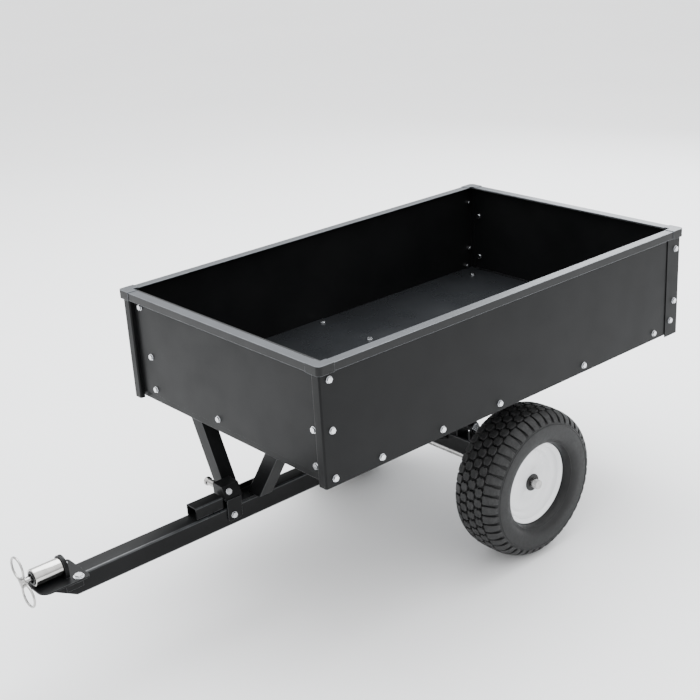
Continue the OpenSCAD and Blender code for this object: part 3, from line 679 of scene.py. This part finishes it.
def raised_ring(bm, origin, r, side, proud):
    """A thin ring that stands out of the sidewall."""
    r, s = min((section(t) for t in range(40, 140)), key=lambda p: abs(p[0] - r))
    shape = [(r - 1.6 * MM, s - 1 * MM), (r - 0.7 * MM, s + proud), (r + 0.7 * MM, s + proud),
             (r + 1.6 * MM, s - 1 * MM)]
    lathe(bm, [(a, side * b) for a, b in shape], origin, Y, RING_AROUND)


def wheel_profile():
    """The pressed wheel's section, listed in millimetres from the outer rim edge
    down the dished face to the hub, along its bore and back up the inside. The
    rim and the dish follow the flange's size, and the hub doesn't."""
    front = [(111.9, 38.4), (111.9, 41.0), (110.8, 42.0), (108.6, 41.9), (106.0, 40.6),
             (103.6, 37.6), (101.6, 32.6), (100.2, 27.0), (97.6, 23.6), (92.5, 21.4),
             (88.0, 20.2), (85.2, 18.4), (82.6, 15.4), (79.0, 13.4), (70.0, 11.6), (60.0, 11.2),
             (49.0, 12.8), (39.0, 16.2), (31.0, 20.4), (26.0, 24.4), (22.6, 28.4), (20.6, 30.9)]
    back = [(18.4, -42.0), (18.4, 2.0), (22.0, 11.0), (31.0, 15.4), (45.0, 9.2), (60.0, 7.6),
            (76.0, 8.6), (86.0, 12.0), (94.0, 15.0), (97.6, 14.0), (98.2, -27.0), (100.0, -33.0),
            (103.6, -38.0), (106.0, -40.6), (108.6, -41.9), (110.8, -42.0), (111.9, -41.0),
            (111.9, -38.4), (105.4, -38.4), (101.2, -34.0), (101.2, 34.0), (105.4, 38.4)]
    bore = [(HUB_IN / MM + 0.1, 30.9), (HUB_IN / MM + 0.1, -42.0)]
    scale = FLANGE_R / (front[0][0] * MM)
    return [(min(r * MM * scale, FLANGE_R) if r > HUB_TO else r * MM,
             max(-WHEEL_HALF, min(WHEEL_HALF, s * MM))) for r, s in front + bore + back]


def make_wheel(side_name, side):
    """A tyre with its tread, and the steel wheel, dished towards its side."""
    centre = mid("tyre_" + side_name)
    bm = bmesh.new()
    lathe(bm, tyre_profile(), centre, Y, TYRE_AROUND)
    for flank in (-1, 1):
        for r, proud in WALL_RINGS:
            raised_ring(bm, centre, r, flank, proud)
    sharpen(made("tyre_%s_carcass" % side_name, bm, "tyre_" + side_name), TYRE_SHARP)
    bm = bmesh.new()
    tread(bm, centre)
    blocks = from_bmesh("tyre_%s_tread" % side_name, bm, (TREAD,))
    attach(blocks, "wheel_" + side_name)
    bm = bmesh.new()
    lathe(bm, wheel_profile(), mid("wheel_" + side_name), Y * side, WHEEL_AROUND)
    sharpen(made("wheel_%s_steel" % side_name, bm, "wheel_" + side_name), WHEEL_SHARP)


make_wheel("left", 1)
make_wheel("right", -1)
eased("axle_rod", ROD_EDGE, edge=MATS["bare_steel"])
eased("axle_washers", SHEET_EDGE)

# ---- floor and light ----

FLOOR_HALF = 60
FLOOR_BELOW = 0.4 * MM
SKY = ((0.02, 0.26), (0.45, 0.85), (0.85, 1.0))  # (height of the direction, brightness)
SKY_STRENGTH = 2.3


def make_floor():
    n = Nodes("floor_pale")
    n.link(n.ramp(n.noise(0.8), [(0.3, grey(0.93)), (0.7, grey(0.95))]),
           n.bsdf.inputs["Base Color"])
    n.fix({"Roughness": 0.8, "Specular IOR Level": 0.2})
    bm = bmesh.new()
    bmesh.ops.create_grid(bm, x_segments=1, y_segments=1, size=FLOOR_HALF)
    floor = from_bmesh("floor", bm, (n.mat,))
    floor.location.z = -FLOOR_BELOW


def area(name, place, aim, wide, tall, power, colour):
    light = bpy.data.lights.new(name, "AREA")
    light.shape = "RECTANGLE"
    light.size, light.size_y = wide, tall
    light.energy = power
    light.color = colour
    lamp = linked(name, light)
    lamp.location = place
    lamp.rotation_euler = (Vector(aim) - Vector(place)).to_track_quat("-Z", "Y").to_euler()


def make_sky():
    """A world that is dimmer towards the horizon than overhead."""
    world = bpy.data.worlds.new("studio")
    bpy.context.scene.world = world
    world.use_nodes = True
    tree = world.node_tree
    direction = tree.nodes.new("ShaderNodeTexCoord")
    split = tree.nodes.new("ShaderNodeSeparateXYZ")
    sky = tree.nodes.new("ShaderNodeValToRGB")
    sky.color_ramp.elements.new(SKY[1][0])
    for element, (at, v) in zip(sky.color_ramp.elements, SKY):
        element.position = at
        element.color = (*grey(v, 1.02), 1)
    background = tree.nodes["Background"]
    tree.links.new(direction.outputs["Generated"], split.inputs["Vector"])
    tree.links.new(split.outputs["Z"], sky.inputs["Fac"])
    tree.links.new(sky.outputs["Color"], background.inputs["Color"])
    background.inputs["Strength"].default_value = SKY_STRENGTH


make_floor()
area("above", (-1.2, -1.0, 4.2), (0, 0, 0.5), 4.5, 3.5, 330, (0.95, 0.98, 1.0))
area("back", (-4.2, -1.6, 2.2), (0, 0, 0.6), 2.4, 2.0, 90, (0.92, 0.96, 1.0))
make_sky()
